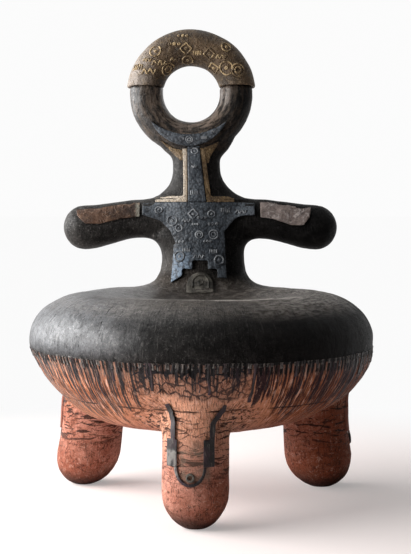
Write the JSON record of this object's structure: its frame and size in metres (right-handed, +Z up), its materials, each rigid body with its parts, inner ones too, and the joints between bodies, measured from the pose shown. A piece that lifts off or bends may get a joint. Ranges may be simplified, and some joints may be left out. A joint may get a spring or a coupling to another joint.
{
  "type": "clay chair",
  "caption": "Hand-built fired clay chair with a broad round dished seat on domed legs, and a narrow back of trunk, stub arms, neck and open ring",
  "frame": {"origin": "On the floor, below the middle of the seat's widest circle, which is the middle of the chair's bounding box seen from above", "axes": "+Z up, +Y to the back of the chair, +X to the viewer's right when the chair is seen from the front, so the sitter faces -Y"},
  "size_m": [0.616, 0.616, 0.8652],
  "materials": {
    "bowl_clay": "matt scratched terracotta with dark glaze runs from the seam",
    "inner_clay": "matt unglazed, hidden inside",
    "black_clay": "satin smoke-blackened, fine scratches",
    "bronze_clay": "satin bronze-brown with thin raised lines",
    "slate_clay": "satin slate blue-grey, pebbly, with thin raised motifs",
    "tan_clay": "satin tan to brown, mottled",
    "trim_clay": "satin black"
  },
  "bodies": {
    "root": {"seat_bowl": "bowl_clay", "seat_top": "black_clay", "rib_front": "inner_clay", "rib_rear_right": "inner_clay", "rib_rear_left": "inner_clay", "front_leg": "bowl_clay", "rear_right_leg": "bowl_clay", "rear_left_leg": "bowl_clay", "trunk": "black_clay", "left_arm": "black_clay", "right_arm": "black_clay", "neck": "black_clay", "head_ring": "black_clay", "ring_sleeve": "bronze_clay", "ring_crescent": "slate_clay", "neck_slab": "slate_clay", "chest_slab": "slate_clay", "base_plaque": "slate_clay", "left_neck_strip": "tan_clay", "right_neck_strip": "tan_clay", "left_arm_slab": "tan_clay", "right_arm_slab": "tan_clay", "front_strap_left": "trim_clay", "front_strap_right": "trim_clay", "front_loop": "trim_clay", "front_boss": "trim_clay", "rear_right_strap_left": "trim_clay", "rear_right_strap_right": "trim_clay", "rear_right_loop": "trim_clay", "rear_right_boss": "trim_clay", "rear_left_strap_left": "trim_clay", "rear_left_strap_right": "trim_clay", "rear_left_loop": "trim_clay", "rear_left_boss": "trim_clay"}
  },
  "joints": []
}
